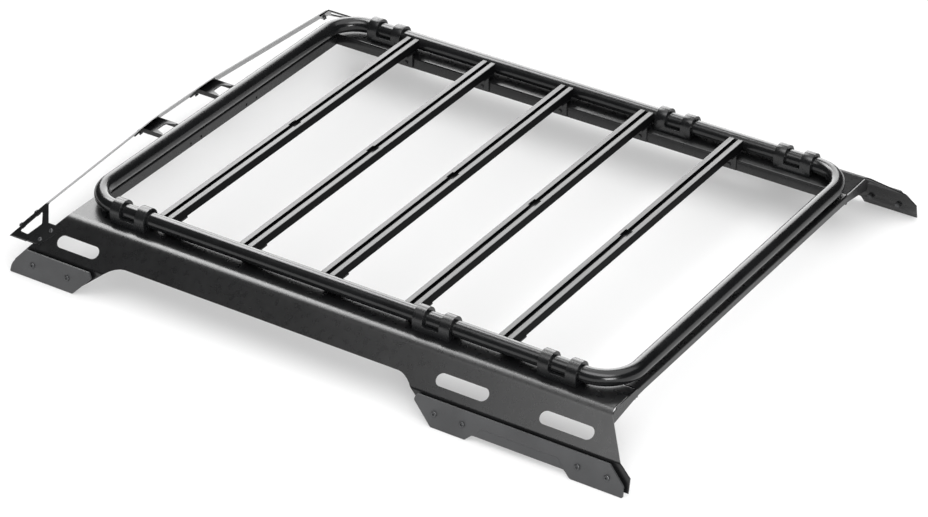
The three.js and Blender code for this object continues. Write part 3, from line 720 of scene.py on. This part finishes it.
class RACK_OT_foot_plates(bpy.types.Operator):
    """Build the foot plates that stand off the panels' flanges"""

    bl_idname = "rack.foot_plates"
    bl_label = "Foot Plates"

    def execute(self, context):
        sizes = context.scene.rack_sizes
        front = [
            (-791, -92.7, 4 * MM),
            (-605, -92.7, 5 * MM),
            (-598.5, -106, 4 * MM),
            (-649, -157.7, 3 * MM),
            (-832, -157.7, 3 * MM),
            (-828, -136, 36 * MM),
        ]
        rear = [
            (294, -92.7, 5 * MM),
            (782, -92.7, 5 * MM),
            (820.5, -132, 10 * MM),
            (821.5, -157.7, 3 * MM),
            (691, -157.7, 10 * MM),
            (676, -142.8, 10 * MM),
            (442, -142.8, 3 * MM),
            (425.5, -157.7, 5 * MM),
            (337, -157.7, 6 * MM),
            (289, -108, 6 * MM),
        ]
        self.plate("front", front, FRONT_BOLTS, sizes)
        self.plate("rear", rear, REAR_BOLTS, sizes)
        return {"FINISHED"}

    def plate(self, end, corners, bolts, sizes):
        """One foot plate and its mirror image."""

        def place(y, z, w):
            return SECTION.flange_point(at_y(y), at_z(z), STAND_OFF) + w * SECTION.flange_out

        piece = outline(f"{end}_foot_left", corners, sizes.plate, place)
        tools = []
        if end == "rear":
            tools.append(self.relief(place, sizes.plate - RELIEF))
        out = SECTION.flange_out * 0.03
        for y in bolts:
            point = SECTION.flange_point(at_y(y), at_z(FOOT_BOLT_Z))
            tools.append(pin("hole", FOOT_HOLE, point - out, point + out))
        tools.append(block("ground", (0.6, -1, -0.05), (0.8, 1, 0)))  # keeps the feet on Z = 0
        carve(piece, *tools)
        soften(piece, sizes.edge)
        right = mirrored(piece, f"{end}_foot_right")
        coat = finishes()["plate"]
        fit(piece, coat, "plate", f"{end}_left_foot_plate")
        fit(right, coat, "plate", f"{end}_right_foot_plate")

    def relief(self, place, level):
        """The tool that mills the shallow relief down to a level above the plate's
        back, its walls sloping well outwards."""
        corners = [(440, -146), (463, -119, 4 * MM), (659, -119, 4 * MM), (678, -146)]
        tool = outline("relief", corners, 2 * MM, lambda y, z, w: place(y, z, w + level))
        floor = place(*corners[0], level).dot(SECTION.flange_out)
        edit(tool)
        pick(tool, "verts", lambda vert: abs(vert.co.dot(SECTION.flange_out) - floor) < 0.1 * MM)
        bpy.ops.transform.resize(value=(0.8, 0.965, 0.8))
        done()
        return tool


def button_bolt(name, head, height, shank, reach, nut, collar=None):
    """A button-head bolt that stands on Z = 0: a domed head with a hexagon
    socket, a shank down to its nut, and sometimes a spacer collar. Head and
    shank are radii, a nut is (radius, top, thickness) and a collar is
    (radius, top, bottom)."""
    piece = pin(name, head, (0, 0, 0), (0, 0, height), 36)
    edit(piece)
    rim = height - NEAR
    pick(piece, "edges", lambda e: all(v.co.z > rim for v in e.verts) and not e.is_boundary)
    dome, floor = height * 0.78, height * 0.35
    bpy.ops.mesh.bevel(offset=dome, segments=6, affect="EDGES", profile=0.5)
    done()
    socket = pin("socket", shank * 0.72, (0, 0, floor), (0, 0, height + 0.002), 6)
    carve(piece, socket)
    stem = pin("stem", shank, (0, 0, -reach), (0, 0, 0.5 * MM), 24)
    nut_radius, nut_top, nut_thickness = nut
    parts = [stem, pin("nut", nut_radius, (0, 0, nut_top - nut_thickness), (0, 0, nut_top), 6)]
    if collar:
        collar_radius, collar_top, collar_bottom = collar
        parts.append(pin("collar", collar_radius, (0, 0, collar_bottom), (0, 0, collar_top), 32))
    carve(piece, *parts, how="UNION")
    return soften(piece, 0.25 * MM)


def turned_to(start, direction):
    """The matrix that stands a piece made on Z at a point, along a direction."""
    return Matrix.Translation(start) @ direction.to_track_quat("Z", "Y").to_matrix().to_4x4()


class RACK_OT_foot_bolts(bpy.types.Operator):
    """Build the bolts that hold the foot plates, each with its nut and spacer"""

    bl_idname = "rack.foot_bolts"
    bl_label = "Foot Bolts"

    def execute(self, context):
        face = STAND_OFF + context.scene.rack_sizes.plate + CLEARANCE
        bolt = button_bolt(
            "foot_bolt",
            head=6.8 * MM,
            height=3.9 * MM,
            shank=4.05 * MM,
            reach=face + 9.3 * MM,
            nut=(6.6 * MM, -face - context.scene.rack_sizes.sheet - CLEARANCE, 6 * MM),
            collar=(7.5 * MM, -face + STAND_OFF - CLEARANCE, -face + CLEARANCE),
        )
        steel = finishes()["steel"]
        for end, places in (("front", FRONT_BOLTS), ("rear", REAR_BOLTS)):
            for number, y in enumerate(places, 1):
                seat = SECTION.flange_point(at_y(y), at_z(FOOT_BOLT_Z)) + face * SECTION.flange_out
                for side, sign in SIDES:
                    flip = Vector((sign, 1, 1))
                    matrix = turned_to(seat * flip, SECTION.flange_out * flip)
                    copy = copied(bolt, f"{end}_foot_{side}_bolt_{number}", matrix)
                    fit(copy, steel, "steel", f"{end}_{side}_foot_bolt_{number}")
        bpy.data.objects.remove(bolt)
        return {"FINISHED"}


class RACK_OT_saddles(bpy.types.Operator):
    """Build the saddles: two bands over the tube, a solid base and two studs"""

    bl_idname = "rack.saddles"
    bl_label = "Saddles"

    def execute(self, context):
        sizes = context.scene.rack_sizes
        low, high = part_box("front_left_saddle")
        middle = (low + high) / 2
        base = SECTION.top + CLEARANCE
        piece = self.arch(sizes, middle.x, low.y, high.y, base)
        window = self.window(middle.x, low.y + sizes.band, high.y - sizes.band)
        radius, past = sizes.tube / 2 + 0.3 * MM, 0.01
        bore = self.along_rail("bore", radius, middle.x, low.y - past, high.y + past, TUBE_SIDES)
        studs = []
        nut_top = SECTION.top - sizes.sheet - CLEARANCE
        for y in (middle.y - 35 * MM, middle.y + 35 * MM):
            foot, top = (middle.x, y, low.z), (middle.x, y, base + 1 * MM)
            studs.append(pin("stud", 3.05 * MM, foot, top, 20))
            foot, top = (middle.x, y, nut_top - 5 * MM), (middle.x, y, nut_top)
            studs.append(pin("nut", 5.6 * MM, foot, top, 6))
        carve(piece, window, bore)
        carve(piece, *studs, how="UNION")
        soften(piece, 1.1 * MM, segments=3)
        cast = finishes()["cast"]
        for end in ENDS:
            for side, sign in SIDES:
                node = f"{end}_{side}_saddle"
                shift = middle_y(node) - middle.y
                matrix = Matrix.Translation((0, shift, 0)) @ Matrix.Diagonal((sign, 1, 1, 1))
                fit(copied(piece, f"saddle_{end}_{side}", matrix), cast, "cast", node)
        bpy.data.objects.remove(piece)
        return {"FINISHED"}

    def along_rail(self, name, radius, x, y0, y1, sides):
        return pin(name, radius, (x, y0, RAIL_Z), (x, y1, RAIL_Z), sides)

    def arch(self, sizes, x, y0, y1, base):
        """A half round over the tube's axis with straight walls down to its base."""
        piece = self.along_rail("saddle", sizes.saddle, x, y0, y1, 64)
        edit(piece)
        bpy.ops.mesh.select_all(action="SELECT")
        bpy.ops.mesh.bisect(plane_co=(x, 0, RAIL_Z), plane_no=(0, 0, -1), clear_outer=True, use_fill=True)
        pick(piece, "faces", lambda f: f.calc_center_median().z < RAIL_Z + NEAR)
        pull((0, 0, base - RAIL_Z))
        outward()
        done()
        return piece

    def window(self, x, y0, y1):
        """The tool for the space between the bands, with its lower corners rounded."""
        half, floor = 0.04, RAIL_Z - 8 * MM
        tool = block("window", (x - half, y0, floor), (x + half, y1, RAIL_Z + half))
        edit(tool)
        pick(tool, "edges", lambda e: all(v.co.z < RAIL_Z for v in e.verts) and self.crosswise(e))
        bpy.ops.mesh.bevel(offset=3 * MM, segments=5, affect="EDGES")
        done()
        return tool

    def crosswise(self, edge):
        return abs(edge.verts[0].co.x - edge.verts[1].co.x) > 0.01


class RACK_OT_bars(bpy.types.Operator):
    """Build the cross bars: extrusions with a slot for T-bolts above and below"""

    bl_idname = "rack.bars"
    bl_label = "Cross Bars"

    def execute(self, context):
        sizes = context.scene.rack_sizes
        low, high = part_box("cross_bar_1")
        y, half = middle_y("cross_bar_1"), high.x
        piece = block("cross_bar", (-half, low.y, low.z), (half, high.y, high.z))
        edit(piece)
        pick(piece, "edges", lambda e: abs(e.verts[0].co.x - e.verts[1].co.x) > 0.5)
        bpy.ops.mesh.bevel(offset=2.2 * MM, segments=4, affect="EDGES")
        done()
        neck, channel = sizes.slot / 2, 9 * MM  # half widths
        wall, lap, past = 3 * MM, 0.01 * MM, 1 * MM
        top_depth, bottom_depth = 9 * MM, 7 * MM

        def cut(name, reach, wide, z0, z1):
            return block(name, (-reach, y - wide, z0), (reach, y + wide, z1))

        reach = half + 0.01
        tools = [
            cut("groove", reach, channel, high.z - top_depth, high.z - wall),
            cut("groove", reach, neck, high.z - wall - lap, high.z + past),
            cut("groove", reach, channel, low.z + wall, low.z + bottom_depth),
            cut("groove", reach, neck, low.z - past, low.z + wall + lap),
            cut("nut_notch", 14 * MM, 9.5 * MM, high.z - 3.5 * MM, high.z + past),
        ]
        rail_x = RAIL_HIGH.x - sizes.tube / 2
        for sign in (-1, 1):
            ends = (sign * rail_x, y - 0.05, RAIL_Z), (sign * rail_x, y + 0.05, RAIL_Z)
            tools.append(pin("cope", sizes.tube / 2 + 0.5 * MM, *ends, TUBE_SIDES))
        carve(piece, *tools)
        soften(piece, 0.4 * MM)
        bar = finishes()["bar"]
        for number in range(1, 6):
            node = f"cross_bar_{number}"
            shift = middle_y(node) - y
            copy = copied(piece, f"bar_{number}", Matrix.Translation((0, shift, 0)))
            fit(copy, bar, "bar", node)
        bpy.data.objects.remove(piece)
        return {"FINISHED"}


class RACK_OT_bar_brackets(bpy.types.Operator):
    """Build the brackets that carry the ends of the cross bars"""

    bl_idname = "rack.bar_brackets"
    bl_label = "Bar Brackets"

    def execute(self, context):
        for number in range(1, 6):
            for side, _ in SIDES:
                node = f"cross_bar_{number}_{side}_bracket"
                piece = refined(node, 0.35 * MM, f"bar_{number}_{side}_foot")
                fit(piece, finishes()["cast"], "cast", node)
        return {"FINISHED"}


class RACK_OT_members(bpy.types.Operator):
    """Build the two folded members that join the side panels"""

    bl_idname = "rack.members"
    bl_label = "Cross Members"

    def execute(self, context):
        edge = context.scene.rack_sizes.edge
        for end in ("front", "rear"):
            node = f"{end}_cross_member"
            fit(refined(node, edge, f"{end}_member"), finishes()["coat"], "coat", node)
        return {"FINISHED"}


class RACK_OT_fairing(bpy.types.Operator):
    """Build the wind fairing and its brackets"""

    bl_idname = "rack.fairing"
    bl_label = "Wind Fairing"

    def execute(self, context):
        edge = context.scene.rack_sizes.edge
        coat = finishes()["coat"]
        fit(refined("wind_fairing", edge, "fairing"), coat, "coat", "wind_fairing")
        for side, _ in SIDES:
            for place in ("end", "middle"):
                node = f"fairing_{side}_{place}_bracket"
                fit(refined(node, 0.4 * MM, f"{place}_bracket_{side}"), coat, "coat", node)
        return {"FINISHED"}


class RACK_OT_fairing_bolts(bpy.types.Operator):
    """Build the small bolts of the fairing and its brackets"""

    bl_idname = "rack.fairing_bolts"
    bl_label = "Fairing Bolts"

    def execute(self, context):
        steel = finishes()["steel"]
        height, nut_end = 3.1 * MM, 4.35 * MM
        for kind, stack in (("end", 5.85 * MM), ("middle", 5.85 * MM), ("tab", 6.35 * MM)):
            bolt = button_bolt(
                "small_bolt",
                head=5.4 * MM,
                height=height,
                shank=3.0 * MM,
                reach=stack + 4.4 * MM,
                nut=(5.2 * MM, -stack - 0.65 * MM, 4 * MM),
            )
            span = height + CLEARANCE + stack + nut_end
            for side, sign in SIDES:
                for number in (1, 2):
                    node = f"fairing_{side}_{kind}_bolt_{number}"
                    low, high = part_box(node)
                    centre = (low + high) / 2
                    aim = self.aim(kind, centre, sign)
                    matrix = turned_to(centre + aim * (span / 2 - height), aim)
                    copy = copied(bolt, f"{kind}_bolt_{side}_{number}", matrix)
                    fit(copy, steel, "steel", node)
            bpy.data.objects.remove(bolt)
        return {"FINISHED"}

    def aim(self, kind, centre, sign):
        """The way out of the sheet that a bolt stands on."""
        if kind == "tab":
            return SECTION.slope_out * Vector((sign, 1, 1))
        on_side_facet = abs(centre.x) > FACET_X
        sweep = math.copysign(FAIRING_SWEEP, centre.x) if on_side_facet else 0
        return Vector((sweep, -1, FAIRING_RAKE)).normalized()


class RACK_OT_stage(bpy.types.Operator):
    """Build the floor, the lights and the camera"""

    bl_idname = "rack.stage"
    bl_label = "Stage"

    def execute(self, context):
        bpy.ops.object.select_all(action="DESELECT")
        bpy.ops.mesh.primitive_plane_add(size=60, location=(0, 0, 0))
        floor = named("floor")
        floor.data.materials.append(matt_floor("floor_paper", context.scene.rack_colours.floor))
        self.room(context.scene)
        lamp, card = self.lamp, self.card
        lamp("overhead", place=(0.8, 1.8, 6.5), aim=(0.8, 1.8, 0), size=(9.0, 8.0), power=390)
        lamp("rear_fill", place=(3.4, 3.2, 1.2), aim=(0.6, 0.7, 0.05), size=(1.6, 1.2), power=90)
        card("far_card", place=(-6.6, -4.4, 3.3), aim=(0, 0, 0.1), size=(7.0, 6.4), power=780)
        card("shoulder_card", place=(-2.2, -4.4, 6.0), aim=(-0.4, -0.6, 0), size=(3.2, 3.0), power=380)
        card("wall_card", place=(4.2, 0.9, 6.4), aim=(4.2, 0.9, 0), size=(4.0, 7.5), power=380)
        self.camera(context.scene)
        context.scene.view_settings.view_transform = "Standard"
        return {"FINISHED"}

    def room(self, scene):
        """A pale room that lights the floor, and is dim where glossy surfaces mirror it."""
        bright, dim = 0.95, 0.05
        world = bpy.data.worlds.new("studio")
        world.use_nodes = True
        nodes, links = world.node_tree.nodes, world.node_tree.links
        path = nodes.new("ShaderNodeLightPath")
        strength = nodes.new("ShaderNodeMapRange")
        strength.inputs["To Min"].default_value = bright
        strength.inputs["To Max"].default_value = dim
        links.new(path.outputs["Is Glossy Ray"], strength.inputs["Value"])
        background = nodes["Background"]
        background.inputs["Color"].default_value = (1, 1, 1, 1)
        links.new(strength.outputs["Result"], background.inputs["Strength"])
        scene.world = world

    def lamp(self, name, place, aim, size, power):
        """A rectangular lamp that shines from a place towards another."""
        light = bpy.data.lights.new(name, "AREA")
        light.shape = "RECTANGLE"
        light.size, light.size_y = size
        light.energy = power
        holder = bpy.data.objects.new(name, light)
        bpy.context.scene.collection.objects.link(holder)
        holder.location = place
        holder.rotation_euler = (Vector(aim) - Vector(place)).to_track_quat("-Z", "Y").to_euler()
        return holder

    def card(self, name, **settings):
        """A lamp that only shows as a highlight, and throws no light or shadow."""
        self.lamp(name, **settings).visible_diffuse = False

    def camera(self, scene):
        """A long lens above the rear left corner. Its axes are level and rise, which
        are rolled a little, and back, which points from the rack to the camera."""
        place = Vector((5.8987, 3.8972, 4.3774))
        azimuth, elevation, roll = map(math.radians, (123.372, 32.055, -0.303))
        lens = bpy.data.cameras.new("view")
        lens.sensor_width = 36
        lens.lens = 137.5
        lens.clip_end = 100
        camera = bpy.data.objects.new("view", lens)
        scene.collection.objects.link(camera)
        back = Vector(
            (
                math.sin(azimuth) * math.cos(elevation),
                -math.cos(azimuth) * math.cos(elevation),
                math.sin(elevation),
            )
        )
        level = (-back).cross(Vector((0, 0, 1))).normalized()
        rise = level.cross(-back)
        right = math.cos(roll) * level + math.sin(roll) * rise
        up = -math.sin(roll) * level + math.cos(roll) * rise
        turned = Matrix((right, up, back)).transposed().to_4x4()
        camera.matrix_world = Matrix.Translation(place) @ turned
        scene.camera = camera


class RACK_PT_panel(bpy.types.Panel):
    """Lists the pieces, the sizes and the colours"""

    bl_idname = "RACK_PT_panel"
    bl_label = "Roof Rack"
    bl_space_type = "VIEW_3D"
    bl_region_type = "UI"
    bl_category = "Roof Rack"

    def draw(self, context):
        layout = self.layout
        for group in (context.scene.rack_sizes, context.scene.rack_colours):
            box = layout.box()
            for key in group.bl_rna.properties.keys():
                if key not in ("rna_type", "name"):
                    box.prop(group, key)
        for operator in OPERATORS:
            layout.operator(operator.bl_idname)


OPERATORS = (
    RACK_OT_rail,
    RACK_OT_panels,
    RACK_OT_foot_plates,
    RACK_OT_foot_bolts,
    RACK_OT_saddles,
    RACK_OT_bars,
    RACK_OT_bar_brackets,
    RACK_OT_members,
    RACK_OT_fairing,
    RACK_OT_fairing_bolts,
    RACK_OT_stage,
)


def register():
    for group in (RackSizes, RackColours, *OPERATORS, RACK_PT_panel):
        bpy.utils.register_class(group)
    bpy.types.Scene.rack_sizes = PointerProperty(type=RackSizes)
    bpy.types.Scene.rack_colours = PointerProperty(type=RackColours)


def unregister():
    del bpy.types.Scene.rack_colours
    del bpy.types.Scene.rack_sizes
    for group in (RACK_PT_panel, *reversed(OPERATORS), RackColours, RackSizes):
        bpy.utils.unregister_class(group)


def main():
    register()
    for operator in OPERATORS:
        call = getattr(bpy.ops.rack, operator.bl_idname.split(".")[1])
        if call() != {"FINISHED"}:
            raise RuntimeError(f"{operator.bl_label} was not finished")


if __name__ == "__main__":
    main()
